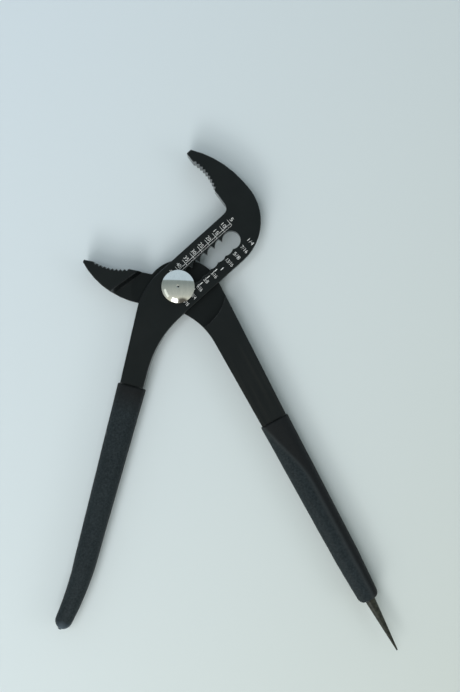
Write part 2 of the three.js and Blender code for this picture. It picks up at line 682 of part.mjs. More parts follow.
const slottedLever = new THREE.Group();
slottedLever.rotation.z = radians(SLOT_TILT);
slottedLever.add(
  piece('upper_jaw_lever', upperJawLever(), blackenedSteel),
  piece('plain_grip', plainGrip(), sleeveVinyl),
  piece('spring_washer', springWasher(), springSteel),
  pivotingLever,
);

const pliers = new THREE.Group();
pliers.add(slottedLever);

export default pliers;
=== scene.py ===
import math

import bmesh
import bpy
from mathutils import Matrix, Vector


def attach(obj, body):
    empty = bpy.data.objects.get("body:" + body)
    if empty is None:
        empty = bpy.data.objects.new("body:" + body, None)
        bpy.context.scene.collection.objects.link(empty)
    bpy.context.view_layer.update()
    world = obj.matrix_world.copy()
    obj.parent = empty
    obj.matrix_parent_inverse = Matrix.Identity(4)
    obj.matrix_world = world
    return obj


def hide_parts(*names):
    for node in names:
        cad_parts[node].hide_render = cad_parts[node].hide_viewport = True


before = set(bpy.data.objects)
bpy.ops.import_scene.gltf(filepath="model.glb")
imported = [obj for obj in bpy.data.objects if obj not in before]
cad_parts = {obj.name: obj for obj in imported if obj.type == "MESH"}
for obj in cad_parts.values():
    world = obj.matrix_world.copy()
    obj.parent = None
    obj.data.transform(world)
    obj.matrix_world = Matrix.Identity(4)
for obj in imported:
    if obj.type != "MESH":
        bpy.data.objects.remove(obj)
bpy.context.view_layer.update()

bpy.context.scene.view_settings.view_transform = "Standard"


# Slotted lever: a drop forging of black oxide steel with the hooked upper jaw,
# the bar with the toothed slot, and a neck that runs into the plain grip.
# It is trimmed, its slot and teeth are cut, and its edges are eased by tumbling.
HOOK_TEETH = (0.01275, 0.0554, 0.0063)
TEETH_REACH = 0.011
EDGE_EASING = 0.00015
MERGE_DISTANCE = 2e-6
SLIVER = 0.00001
FLAT_ANGLE = math.radians(0.4)
SHARP_ANGLE = math.radians(50)
SMOOTH_ANGLE = math.radians(36)
OXIDE_DARK = (0.0024, 0.0036, 0.0042, 1)
OXIDE_PALE = (0.0048, 0.0062, 0.0068, 1)
WORN_STEEL_AND_EDGE_HIGHLIGHT, WORN_AND_HIGHLIGHT_SHARE = (0.08, 0.087, 0.09, 1), 0.65
STEEL_SHEEN, STEEL_TINT = 0.35, (0.87, 0.95, 1.0, 1)
SATIN_LOW, SATIN_HIGH = 0.36, 0.48
SIDE_ROUGHNESS = 0.15


def only(piece):
    bpy.ops.object.select_all(action="DESELECT")
    piece.select_set(True)
    bpy.context.view_layer.objects.active = piece


def apply_modifiers(piece):
    only(piece)
    for modifier in list(piece.modifiers):
        bpy.ops.object.modifier_apply(modifier=modifier.name)


def without_slivers(piece):
    only(piece)
    bpy.ops.object.mode_set(mode="EDIT")
    bpy.ops.mesh.select_all(action="SELECT")
    bpy.ops.mesh.dissolve_degenerate(threshold=SLIVER)
    bpy.ops.object.mode_set(mode="OBJECT")


def eased_forging(node, name, teeth_middle):
    """A copy of a forging with its sharp edges eased, except those of its teeth."""
    piece = bpy.data.objects.new(name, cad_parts[node].data.copy())
    bpy.context.scene.collection.objects.link(piece)
    only(piece)
    bpy.ops.object.mode_set(mode="EDIT")
    bpy.ops.mesh.select_all(action="SELECT")
    bpy.ops.mesh.remove_doubles(threshold=MERGE_DISTANCE)
    bpy.ops.mesh.dissolve_limited(angle_limit=FLAT_ANGLE)
    bpy.ops.mesh.select_all(action="DESELECT")
    bpy.ops.mesh.select_mode(type="EDGE")
    mesh = bmesh.from_edit_mesh(piece.data)
    for edge in mesh.edges:
        start, end = (corner.co for corner in edge.verts)
        sharp = len(edge.link_faces) == 2 and edge.calc_face_angle() > SHARP_ANGLE
        away = ((start + end) / 2 - Vector(teeth_middle)).length > TEETH_REACH
        edge.select_set(sharp and away and edge.calc_length() > EDGE_EASING)
    bmesh.update_edit_mesh(piece.data)
    bpy.ops.mesh.bevel(affect="EDGES", offset=EDGE_EASING, segments=2, clamp_overlap=False)
    bpy.ops.object.mode_set(mode="OBJECT")
    without_slivers(piece)
    bpy.ops.object.shade_smooth_by_angle(angle=SMOOTH_ANGLE)
    flat = piece.modifiers.new("flat faces", "WEIGHTED_NORMAL")
    flat.keep_sharp = True
    apply_modifiers(piece)
    return piece


def dress(piece, material):
    piece.data.materials.clear()
    piece.data.materials.append(material)


def add_node(tree, kind, place, **inputs):
    node = tree.nodes.new(kind)
    node.location = place
    for name, value in inputs.items():
        node.inputs[name.replace("_", " ")].default_value = value
    return node


def multiplied(tree, place, first, second):
    product = add_node(tree, "ShaderNodeMath", place)
    product.operation = "MULTIPLY"
    tree.links.new(first, product.inputs[0])
    tree.links.new(second, product.inputs[1])
    return product.outputs["Value"]


def new_group(name, inputs, outputs):
    tree = bpy.data.node_groups.new(name, "ShaderNodeTree")
    for label, value in inputs.items():
        socket = tree.interface.new_socket(label, in_out="INPUT", socket_type="NodeSocketFloat")
        socket.default_value = value
    for label in outputs:
        tree.interface.new_socket(label, in_out="OUTPUT", socket_type="NodeSocketFloat")
    entry = tree.nodes.new("NodeGroupInput")
    entry.location = (-900, 0)
    leave = tree.nodes.new("NodeGroupOutput")
    leave.location = (700, 0)
    return tree, entry, leave


def surface_grain():
    tree, entry, leave = new_group(
        "Surface grain", {"Fine": 2200.0, "Broad": 90.0}, ["Fine", "Broad"])
    place = add_node(tree, "ShaderNodeTexCoord", (-900, -200))
    for row, label in enumerate(("Fine", "Broad")):
        noise = add_node(tree, "ShaderNodeTexNoise", (-400, -300 * row), Detail=4.0, Roughness=0.6)
        spread = add_node(
            tree, "ShaderNodeMapRange", (100, -300 * row), From_Min=0.3, From_Max=0.7)
        tree.links.new(place.outputs["Object"], noise.inputs["Vector"])
        tree.links.new(entry.outputs[label], noise.inputs["Scale"])
        tree.links.new(noise.outputs["Fac"], spread.inputs["Value"])
        tree.links.new(spread.outputs["Result"], leave.inputs[label])
    return tree


# Paler edges: partly real wear of the oxide, partly a painted highlight along the eased edges.
def worn_edges():
    tree, entry, leave = new_group("Worn and highlit edges", {"Reach": 0.0005, "Patches": 300.0}, ["Mask"])
    eased = add_node(tree, "ShaderNodeBevel", (-600, 100))
    eased.samples = 6
    surface = add_node(tree, "ShaderNodeNewGeometry", (-600, -100))
    turn = add_node(tree, "ShaderNodeVectorMath", (-400, 0))
    turn.operation = "DOT_PRODUCT"
    edge = add_node(tree, "ShaderNodeMapRange", (-200, 0), From_Min=0.995, From_Max=0.9)
    place = add_node(tree, "ShaderNodeTexCoord", (-600, -400))
    noise = add_node(tree, "ShaderNodeTexNoise", (-400, -400), Detail=5.0, Roughness=0.7)
    patch = add_node(tree, "ShaderNodeMapRange", (-200, -400), From_Min=0.38, From_Max=0.62)
    tree.links.new(entry.outputs["Reach"], eased.inputs["Radius"])
    tree.links.new(eased.outputs["Normal"], turn.inputs[0])
    tree.links.new(surface.outputs["Normal"], turn.inputs[1])
    tree.links.new(turn.outputs["Value"], edge.inputs["Value"])
    tree.links.new(place.outputs["Object"], noise.inputs["Vector"])
    tree.links.new(entry.outputs["Patches"], noise.inputs["Scale"])
    tree.links.new(noise.outputs["Fac"], patch.inputs["Value"])
    both = multiplied(tree, (200, 0), edge.outputs["Result"], patch.outputs["Result"])
    tree.links.new(both, leave.inputs["Mask"])
    return tree


grain_group = surface_grain()
wear_and_highlight_group = worn_edges()


def new_material(name):
    material = bpy.data.materials.new(name)
    material.use_nodes = True
    tree = material.node_tree
    return material, tree, tree.nodes["Principled BSDF"]


def use_group(tree, group, place, **inputs):
    node = add_node(tree, "ShaderNodeGroup", place)
    node.node_tree = group
    for name, value in inputs.items():
        node.inputs[name].default_value = value
    return node


def mix_colour(tree, place, factor, first, second):
    mix = tree.nodes.new("ShaderNodeMix")
    mix.data_type = "RGBA"
    mix.location = place
    for number, value in ((0, factor), (6, first), (7, second)):
        if isinstance(value, bpy.types.NodeSocket):
            tree.links.new(value, mix.inputs[number])
        else:
            mix.inputs[number].default_value = value
    return mix.outputs[2]


def ranged(tree, place, value, low, high):
    node = add_node(tree, "ShaderNodeMapRange", place, To_Min=low, To_Max=high)
    tree.links.new(value, node.inputs["Value"])
    return node.outputs["Result"]


def bumped(tree, shader, place, height, strength, distance):
    bump = add_node(tree, "ShaderNodeBump", place, Strength=strength, Distance=distance)
    tree.links.new(height, bump.inputs["Height"])
    tree.links.new(bump.outputs["Normal"], shader.inputs["Normal"])


def near_point(tree, place, point, reach, fade):
    """A mask that is 1 within a reach of a point on the piece and fades out past it."""
    where = add_node(tree, "ShaderNodeTexCoord", place)
    gap = add_node(tree, "ShaderNodeVectorMath", (place[0] + 200, place[1]))
    gap.operation = "DISTANCE"
    gap.inputs[1].default_value = point
    mask = add_node(tree, "ShaderNodeMapRange", (place[0] + 400, place[1]),
                    From_Min=reach + fade, From_Max=reach)
    tree.links.new(where.outputs["Object"], gap.inputs[0])
    tree.links.new(gap.outputs["Value"], mask.inputs["Value"])
    return mask.outputs["Result"]


def reached(tree, place, direction, low, high):
    """A mask that rises from 0 to 1 between two distances along a direction on the piece."""
    where = add_node(tree, "ShaderNodeTexCoord", place)
    along = add_node(tree, "ShaderNodeVectorMath", (place[0] + 200, place[1]))
    along.operation = "DOT_PRODUCT"
    along.inputs[1].default_value = direction
    mask = add_node(tree, "ShaderNodeMapRange", (place[0] + 400, place[1]),
                    From_Min=low, From_Max=high)
    tree.links.new(where.outputs["Object"], along.inputs[0])
    tree.links.new(along.outputs["Value"], mask.inputs["Value"])
    return mask.outputs["Result"]


def mix_value(tree, place, factor, first, second):
    mix = tree.nodes.new("ShaderNodeMix")
    mix.location = place
    tree.links.new(factor, mix.inputs[0])
    tree.links.new(first, mix.inputs[2])
    mix.inputs[3].default_value = second
    return mix.outputs[0]


def black_oxide(name):
    material, tree, shader = new_material(name)
    grain = use_group(tree, grain_group, (-900, 200), Fine=1800.0, Broad=70.0)
    wear_and_highlight = use_group(tree, wear_and_highlight_group, (-900, -200), Reach=0.0006, Patches=260.0)
    surface = add_node(tree, "ShaderNodeNewGeometry", (-1300, -500))
    facing = add_node(tree, "ShaderNodeSeparateXYZ", (-1100, -500))
    level = add_node(tree, "ShaderNodeMath", (-900, -500))
    level.operation = "ABSOLUTE"
    side = add_node(tree, "ShaderNodeMapRange", (-700, -500), From_Min=0.4, From_Max=0.1)
    tree.links.new(surface.outputs["Normal"], facing.inputs["Vector"])
    tree.links.new(facing.outputs["Z"], level.inputs[0])
    tree.links.new(level.outputs["Value"], side.inputs["Value"])
    skin = mix_colour(tree, (-500, 300), grain.outputs["Broad"], OXIDE_DARK, OXIDE_PALE)
    # The eased edges get the paler steel, worn and also a painted edge highlight.
    worn_and_highlight_share = ranged(tree, (-500, -100), wear_and_highlight.outputs["Mask"], 0.0, WORN_AND_HIGHLIGHT_SHARE)
    colour = mix_colour(tree, (-250, 300), worn_and_highlight_share, skin, WORN_STEEL_AND_EDGE_HIGHLIGHT)
    tree.links.new(colour, shader.inputs["Base Color"])
    satin = ranged(tree, (-250, 0), grain.outputs["Fine"], SATIN_LOW, SATIN_HIGH)
    rough = mix_value(tree, (0, 0), side.outputs["Result"], satin, SIDE_ROUGHNESS)
    tree.links.new(rough, shader.inputs["Roughness"])
    shader.inputs["Specular IOR Level"].default_value = STEEL_SHEEN
    shader.inputs["Specular Tint"].default_value = STEEL_TINT
    bumped(tree, shader, (-250, -300), grain.outputs["Fine"], 0.25, 0.00004)
    return material, tree, shader, colour


slotted = eased_forging("upper_jaw_lever", "slotted_lever_forging", HOOK_TEETH)
dress(slotted, black_oxide("Black oxide steel")[0])
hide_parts("upper_jaw_lever")
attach(slotted, "slotted_lever")


# Pivoting lever: the second forging, with the angled lower jaw and the boss that
# laps under the bar. Its handle is drawn out into a podger spike, which is ground
# to a taper and left bare, so it has browned.
SPIKE_LEAN = math.radians(28.2)
SPIKE_DIRECTION = (math.sin(SPIKE_LEAN), -math.cos(SPIKE_LEAN), 0.0)
SPIKE_BARE_FROM = 0.1835
JAW_TEETH = (-0.0336, 0.01075, 0.0063)
SPIKE_BARE_FADE = 0.001
BOSS_MIDDLE, BOSS_REACH, BOSS_FADE = (0.0, 0.0, 0.0063), 0.0236, 0.001
OILED_SHEEN = 0.27
PALER_AWAY_SHARE = 0.03
GROUND_DARK = (0.0015, 0.002, 0.0016, 1)
GROUND_PALE = (0.043, 0.0445, 0.033, 1)
STREAK_COLOUR = (0.0155, 0.0161, 0.0147, 1)
STREAK_STRETCH = 25.0
STREAKS_FROM, STREAKS_FULL = 0.035, 0.06

pivoting = eased_forging("lower_jaw_lever", "pivoting_lever_forging", JAW_TEETH)
pivoting_steel, tree, shader, skin = black_oxide("Black oxide steel with bare spike")
# The lever's colour is a little paler away from the pivot and darker on the boss around it.
around_pivot = near_point(tree, (-1500, -500), BOSS_MIDDLE, BOSS_REACH, BOSS_FADE)
paler_away_from_pivot = ranged(tree, (-900, -400), around_pivot, PALER_AWAY_SHARE, 0.0)
skin = mix_colour(tree, (-500, 600), paler_away_from_pivot, skin, WORN_STEEL_AND_EDGE_HIGHLIGHT)
shader.inputs["Specular IOR Level"].default_value = OILED_SHEEN
bare = reached(
    tree, (-1500, -700), SPIKE_DIRECTION, SPIKE_BARE_FROM, SPIKE_BARE_FROM + SPIKE_BARE_FADE)
grind = use_group(tree, grain_group, (-1100, -1000), Broad=520.0)
ground_steel = mix_colour(
    tree, (-700, -900), grind.outputs["Broad"], GROUND_DARK, GROUND_PALE)
place = add_node(tree, "ShaderNodeTexCoord", (-1700, -1300))
lengthwise = add_node(
    tree, "ShaderNodeMapping", (-1500, -1300),
    Rotation=(0, 0, SPIKE_LEAN), Scale=(1.0, STREAK_STRETCH, 1.0))
lengthwise.vector_type = "TEXTURE"
streaks = add_node(
    tree, "ShaderNodeTexNoise", (-1300, -1300), Scale=420.0, Detail=3.0, Roughness=0.6)
streaked = add_node(
    tree, "ShaderNodeMapRange", (-1100, -1300), From_Min=0.42, From_Max=0.7, To_Max=0.8)
on_neck = reached(tree, (-1700, -1600), SPIKE_DIRECTION, STREAKS_FROM, STREAKS_FULL)
tree.links.new(place.outputs["Object"], lengthwise.inputs["Vector"])
tree.links.new(lengthwise.outputs["Vector"], streaks.inputs["Vector"])
tree.links.new(streaks.outputs["Fac"], streaked.inputs["Value"])
neck_streaks = multiplied(tree, (-900, -1300), streaked.outputs["Result"], on_neck)
skin = mix_colour(tree, (-300, 600), neck_streaks, skin, STREAK_COLOUR)
skin = mix_colour(tree, (-100, 500), bare, skin, ground_steel)
tree.links.new(skin, shader.inputs["Base Color"])
dress(pivoting, pivoting_steel)
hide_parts("lower_jaw_lever")
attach(pivoting, "pivoting_lever")


# Spring washer: a plain blanked ring of spring steel between the bar and the
# rivet's head. Only its edge shows, in the shadow of the head.
WASHER_DARK, WASHER_PALE = (0.2, 0.2, 0.2, 1), (0.32, 0.32, 0.32, 1)
WASHER_SMOOTH, WASHER_ROUGH = 0.28, 0.45

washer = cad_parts["spring_washer"]
washer_steel, tree, shader = new_material("Spring steel")
grain = use_group(tree, grain_group, (-700, 0), Fine=3000.0, Broad=400.0)
colour = mix_colour(tree, (-300, 200), grain.outputs["Broad"], WASHER_DARK, WASHER_PALE)
rough = ranged(tree, (-300, -100), grain.outputs["Fine"], WASHER_SMOOTH, WASHER_ROUGH)
tree.links.new(colour, shader.inputs["Base Color"])
tree.links.new(rough, shader.inputs["Roughness"])
shader.inputs["Metallic"].default_value = 1.0
dress(washer, washer_steel)


# Rivet: turned from bar with a domed head, chromed and buffed. A flat on the shank
# keys it to the pivoting lever, and its tail is set over the lever's back.
RIVET_SEAT = 0.0127
RIVET_HEAD = 0.00825
RIVET_RIM = 0.0009
RIVET_RISE = 0.0026
RIVET_ROUND, RIVET_ROUND_STEPS = 0.0003, 4
RIVET_DOME_STEPS = 24
RIVET_DIMPLE = 0.0007
RIVET_DIMPLE_RINGS = ((0.7, 0.00012), (0.25, 0.00032))
RIVET_SHANK = 0.003768
RIVET_FLAT = 0.002
RIVET_FLAT_HEADING = math.radians(42 + 90)
RIVET_TAIL = 0.0064
RIVET_TAIL_TOP = 0.001
RIVET_TAIL_CHAMFER = 0.0004
RIVET_ROOT = 0.0003
RIVET_SIDES = 96
BUFF_STRETCH = 0.06
CHROME_DARK, CHROME_PALE = (0.66, 0.69, 0.69, 1), (0.82, 0.84, 0.84, 1)
CHROME_SMOOTH, CHROME_ROUGH = 0.05, 0.14
GRIME_COLOUR, GRIME_REACH, GRIME_FADE = (0.05, 0.05, 0.05, 1), 0.00045, 0.0002


def edit_new(name):
    piece = bpy.context.active_object
    piece.name = name
    piece.data.name = name
    bpy.ops.object.mode_set(mode="EDIT")
    bpy.ops.mesh.select_all(action="SELECT")
    return piece


def close_edit():
    bpy.ops.mesh.select_all(action="SELECT")
    bpy.ops.mesh.normals_make_consistent(inside=False)
    bpy.ops.object.mode_set(mode="OBJECT")


def apply_place():
    bpy.ops.object.transform_apply(location=True, rotation=True, scale=True)


def turned(name, profile):
    """A solid turned about the pivot axis, drawn ring by ring through radii and heights."""
    first_radius, first_height = profile[0]
    bpy.ops.object.select_all(action="DESELECT")
    bpy.ops.mesh.primitive_circle_add(
        vertices=RIVET_SIDES, radius=first_radius, fill_type="NGON", location=(0, 0, first_height))
    piece = edit_new(name)
    for (last_radius, last_height), (radius, height) in zip(profile, profile[1:]):
        share = radius / last_radius
        bpy.ops.mesh.extrude_region_move(
            TRANSFORM_OT_translate={"value": (0, 0, height - last_height)})
        bpy.ops.transform.resize(value=(share, share, 1), center_override=(0, 0, height))
    close_edit()
    apply_place()
    return piece


dome_radius = (RIVET_HEAD ** 2 + RIVET_RISE ** 2) / (2 * RIVET_RISE)
crown = RIVET_SEAT + RIVET_RIM + RIVET_RISE
head_profile = [(RIVET_SHANK, RIVET_SEAT), (RIVET_HEAD - RIVET_ROUND, RIVET_SEAT)]
for step in range(1, RIVET_ROUND_STEPS + 1):
    turn = math.radians(90) * step / RIVET_ROUND_STEPS
    head_profile.append((RIVET_HEAD - RIVET_ROUND + RIVET_ROUND * math.sin(turn),
                         RIVET_SEAT + RIVET_ROUND * (1 - math.cos(turn))))
for step in range(RIVET_DOME_STEPS + 1):
    radius = RIVET_HEAD + (RIVET_DIMPLE - RIVET_HEAD) * step / RIVET_DOME_STEPS
    head_profile.append((radius, crown - dome_radius + math.sqrt(dome_radius ** 2 - radius ** 2)))
for share, depth in RIVET_DIMPLE_RINGS:
    head_profile.append((RIVET_DIMPLE * share, crown - depth))
rivet = turned("rivet_dome", head_profile)

tail = turned("rivet_tail", [
    (RIVET_TAIL - RIVET_TAIL_CHAMFER, 0.0),
    (RIVET_TAIL - RIVET_TAIL_CHAMFER / 4, RIVET_TAIL_CHAMFER / 4),
    (RIVET_TAIL, RIVET_TAIL_CHAMFER),
    (RIVET_TAIL, RIVET_TAIL_TOP)])

bpy.ops.object.select_all(action="DESELECT")
bpy.ops.mesh.primitive_cylinder_add(
    vertices=RIVET_SIDES, radius=RIVET_SHANK,
    depth=RIVET_SEAT - RIVET_TAIL_TOP + 2 * RIVET_ROOT,
    location=(0, 0, (RIVET_SEAT + RIVET_TAIL_TOP) / 2))
shank = edit_new("rivet_shank")
flat_normal = (math.cos(RIVET_FLAT_HEADING), math.sin(RIVET_FLAT_HEADING), 0.0)
bpy.ops.mesh.bisect(
    plane_co=tuple(RIVET_FLAT * side for side in flat_normal), plane_no=flat_normal,
    use_fill=True, clear_outer=True)
bpy.ops.object.mode_set(mode="OBJECT")
apply_place()
only(rivet)
tail.select_set(True)
shank.select_set(True)
bpy.ops.object.join()
bpy.ops.object.shade_smooth_by_angle(angle=math.radians(30))

chrome, tree, shader = new_material("Buffed chrome")
place = add_node(tree, "ShaderNodeTexCoord", (-1100, 0))
stretch = add_node(tree, "ShaderNodeMapping", (-900, 0), Scale=(1.0, BUFF_STRETCH, 1.0))
brush = add_node(
    tree, "ShaderNodeTexNoise", (-700, 0), Scale=900.0, Detail=4.0, Roughness=0.6)
tree.links.new(place.outputs["Object"], stretch.inputs["Vector"])
tree.links.new(stretch.outputs["Vector"], brush.inputs["Vector"])
buffed = mix_colour(tree, (-400, 200), brush.outputs["Fac"], CHROME_DARK, CHROME_PALE)
grime_place = (0.0002, -0.0001, crown)
grime = near_point(tree, (-1100, 500), grime_place, GRIME_REACH, GRIME_FADE)
colour = mix_colour(tree, (-150, 300), grime, buffed, GRIME_COLOUR)
rough = ranged(tree, (-400, -100), brush.outputs["Fac"], CHROME_SMOOTH, CHROME_ROUGH)
tree.links.new(colour, shader.inputs["Base Color"])
tree.links.new(rough, shader.inputs["Roughness"])
shader.inputs["Metallic"].default_value = 1.0
dress(rivet, chrome)
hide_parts("pivot_rivet")
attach(rivet, "pivoting_lever")


# Plain grip: a sleeve of dark blue-grey vinyl, made by dipping the warm handle, so
# its end is closed, follows the bend of the handle and carries a small set drip.
GRIP_MIDDLE = 0.0063
GRIP_HEIGHT = 0.0126
GRIP_WALL = 0.0015
GRIP_LIP = 0.0005
SLEEVE_CORNER, TANG_CORNER, CORNER_STEPS = 0.9, 0.35, 10
LUMP_SIZE, LUMP_DEPTH = 0.014, 0.00028
SLEEVE_SMOOTH = math.radians(40)
PLAIN_HEADING, PLAIN_OFFSET = math.radians(42 + 213.1), -0.01005
PLAIN_START, PLAIN_BEND, PLAIN_END = 0.0542, 0.146, 0.182
PLAIN_WIDTHS = (0.0147, 0.0115, 0.0086)
PLAIN_END_HEIGHT = 0.0095
PLAIN_TURN = math.radians(12)
PLAIN_DOME, PLAIN_DOME_SWEEP = 0.0045, math.radians(82)
PLAIN_TANG_END = 0.1683
PLAIN_BORE_FROM = PLAIN_START - 0.004
DRIP_RINGS = ((0.18205, 0.0024), (0.1824, 0.0021), (0.1827, 0.0014), (0.1828, 0.0006))
VINYL_DARK, VINYL_PALE = (0.004, 0.008, 0.0105, 1), (0.0075, 0.0128, 0.0155, 1)
RUBBED_VINYL, RUBBED_SHARE = (0.031, 0.0405, 0.0465, 1), 0.6
VINYL_WITHOUT_SHEEN = (0.0084, 0.0099, 0.0113, 1)
VINYL_SHEEN = 0.2
VINYL_SMOOTH, VINYL_ROUGH = 0.55, 0.75
MOUTH_UNSHEENED, MOUTH_FADE = 0.003, 0.011
PLAIN_TIP, TIP_REACH, TIP_FADE = (-0.0584, -0.17, 0.0075), 0.0012, 0.0036
TIP_HIGHLIGHT_COLOUR, TIP_ROUGHNESS = (0.055, 0.083, 0.112, 1), 0.16


def drawn_bar(name, corner, stations):
    """A closed bar drawn along +X through stations of distance, side, turn, width and height."""
    start, side, _, width, height = stations[0]
    bpy.ops.object.select_all(action="DESELECT")
    bpy.ops.mesh.primitive_plane_add(size=1, rotation=(0, math.pi / 2, 0))
    piece = edit_new(name)
    bpy.ops.object.mode_set(mode="OBJECT")
    piece.scale = (height, width, 1)
    piece.location = (start, side, GRIP_MIDDLE)
    apply_place()
    bpy.ops.object.mode_set(mode="EDIT")
    bpy.ops.mesh.select_all(action="SELECT")
    bpy.ops.mesh.bevel(
        affect="VERTICES", offset=corner * min(width, height) / 2,
        segments=CORNER_STEPS, offset_type="OFFSET")
    bpy.ops.mesh.select_all(action="SELECT")
    for last, new in zip(stations, stations[1:]):
        centre = (new[0], new[1], GRIP_MIDDLE)
        shift = (new[0] - last[0], new[1] - last[1], 0)
        bpy.ops.mesh.extrude_region_move(TRANSFORM_OT_translate={"value": shift})
        if new[2] != last[2]:
            bpy.ops.transform.rotate(
                value=last[2] - new[2], orient_axis="Z", center_override=centre)
        across = new[3] / last[3]
        bpy.ops.transform.resize(
            value=(across, across, new[4] / last[4]), center_override=centre)
    close_edit()
    return piece


def dipped_sleeve(name, outer, bores, heading, side_shift):
    """A sleeve with a lumpy skin, bored for the handle's tang and set along its handle."""
    sleeve = drawn_bar(name, SLEEVE_CORNER, outer)
    lumps = bpy.data.textures.new(name + "_lumps", "CLOUDS")
    lumps.noise_scale = LUMP_SIZE
    uneven = sleeve.modifiers.new("uneven dip", "DISPLACE")
    uneven.texture = lumps
    uneven.texture_coords = "LOCAL"
    uneven.strength = LUMP_DEPTH
    uneven.mid_level = 1.0
    apply_modifiers(sleeve)
    for number, (corner, stations) in enumerate(bores):
        bore = drawn_bar(f"{name}_bore_{number}", corner, stations)
        cut = sleeve.modifiers.new("bore", "BOOLEAN")
        cut.operation = "DIFFERENCE"
        cut.object = bore
        apply_modifiers(sleeve)
        bpy.data.objects.remove(bore)
    across = Vector((-math.sin(heading), math.cos(heading), 0)) * side_shift
    sleeve.data.transform(Matrix.Translation(across) @ Matrix.Rotation(heading, 4, "Z"))
    without_slivers(sleeve)
    bpy.ops.object.shade_smooth_by_angle(angle=SLEEVE_SMOOTH)
    return sleeve


def eased_mouth(start, width, height):
    rings = []
    for step in range(4):
        turn = math.radians(30) * step
        inset = 2 * GRIP_LIP * (1 - math.sin(turn))
        rings.append((
            start + GRIP_LIP * (1 - math.cos(turn)), 0.0, 0.0, width - inset, height - inset))
    return rings


def between(start, end, steps):
    """The distances from start to end in equal steps, without the first."""
    return [start + (end - start) * step / steps for step in range(1, steps + 1)]


def plain_station(distance, inset):
    along_straight = (distance - PLAIN_START) / (PLAIN_BEND - PLAIN_START)
    along_bend = max(0.0, (distance - PLAIN_BEND) / (PLAIN_END - PLAIN_BEND))
    if along_bend == 0.0:
        width = PLAIN_WIDTHS[0] + (PLAIN_WIDTHS[1] - PLAIN_WIDTHS[0]) * max(0.0, along_straight)
        return distance, 0.0, 0.0, width - 2 * inset, GRIP_HEIGHT - 2 * inset
    width = PLAIN_WIDTHS[1] + (PLAIN_WIDTHS[2] - PLAIN_WIDTHS[1]) * along_bend
    height = GRIP_HEIGHT + (PLAIN_END_HEIGHT - GRIP_HEIGHT) * along_bend
    turn = PLAIN_TURN * along_bend
    bend_radius = (PLAIN_END - PLAIN_BEND) / PLAIN_TURN
    return (PLAIN_BEND + bend_radius * math.sin(turn), -bend_radius * (1 - math.cos(turn)), -turn,
            width - 2 * inset, height - 2 * inset)


dome_start = PLAIN_END - PLAIN_DOME
plain_rings = eased_mouth(PLAIN_START, PLAIN_WIDTHS[0], GRIP_HEIGHT)
for distance in between(PLAIN_START + GRIP_LIP, PLAIN_BEND, 32):
    plain_rings.append(plain_station(distance, 0))
for distance in between(PLAIN_BEND, dome_start, 12):
    plain_rings.append(plain_station(distance, 0))
for turn in between(0.0, PLAIN_DOME_SWEEP, 10):
    distance = dome_start + PLAIN_DOME * math.sin(turn)
    width = plain_station(distance, 0)[3]
    plain_rings.append(plain_station(distance, width / 2 * (1 - math.cos(turn))))
for distance, width in DRIP_RINGS:
    plain_rings.append(plain_station(distance, 0)[:3] + (width, width))

plain_bore = [plain_station(distance, GRIP_WALL) for distance in (
    PLAIN_BORE_FROM, PLAIN_START, *between(PLAIN_START, PLAIN_BEND, 8),
    *between(PLAIN_BEND, PLAIN_TANG_END, 6))]
plain_grip = dipped_sleeve(
    "plain_grip_sleeve", plain_rings, [(TANG_CORNER, plain_bore)], PLAIN_HEADING, PLAIN_OFFSET)


def dipped_vinyl(name):
    material, tree, shader = new_material(name)
    grain = use_group(tree, grain_group, (-1100, 200), Fine=2600.0, Broad=55.0)
    fine = use_group(tree, grain_group, (-1100, -200), Fine=700.0, Broad=1000.0)
    colour = mix_colour(tree, (-700, 300), grain.outputs["Broad"], VINYL_DARK, VINYL_PALE)
    rubbed_and_lit_mask = ranged(tree, (-900, 0), fine.outputs["Broad"], 0.0, RUBBED_SHARE)
    colour = mix_colour(tree, (-500, 300), rubbed_and_lit_mask, colour, RUBBED_VINYL)
    rough = ranged(tree, (-500, 0), fine.outputs["Fine"], VINYL_SMOOTH, VINYL_ROUGH)
    shader.inputs["Specular IOR Level"].default_value = VINYL_SHEEN
    bumped(tree, shader, (-250, -300), fine.outputs["Fine"], 0.5, 0.00012)
    return material, tree, shader, colour, rough


plain_vinyl, tree, shader, colour, rough = dipped_vinyl("Dipped vinyl")
plain_direction = (math.cos(PLAIN_HEADING), math.sin(PLAIN_HEADING), 0.0)
# Painted sheen: past the mouth the vinyl gets its lighter colour, at the mouth the darker colour
# without sheen.
sheen_start = PLAIN_START + MOUTH_UNSHEENED
sheen_past_mouth = reached(tree, (-1500, -600), plain_direction, sheen_start, sheen_start + MOUTH_FADE)
# Near the tip the vinyl is glossier and carries a bluish painted highlight in its colour.
tip_gloss_and_highlight = near_point(tree, (-1500, -900), PLAIN_TIP, TIP_REACH, TIP_FADE)
colour = mix_colour(tree, (-450, 450), sheen_past_mouth, VINYL_WITHOUT_SHEEN, colour)
colour = mix_colour(tree, (-250, 300), tip_gloss_and_highlight, colour, TIP_HIGHLIGHT_COLOUR)
tree.links.new(colour, shader.inputs["Base Color"])
rough = mix_value(tree, (-250, 0), tip_gloss_and_highlight, rough, TIP_ROUGHNESS)
tree.links.new(rough, shader.inputs["Roughness"])
dress(plain_grip, plain_vinyl)
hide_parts("plain_grip")
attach(plain_grip, "slotted_lever")


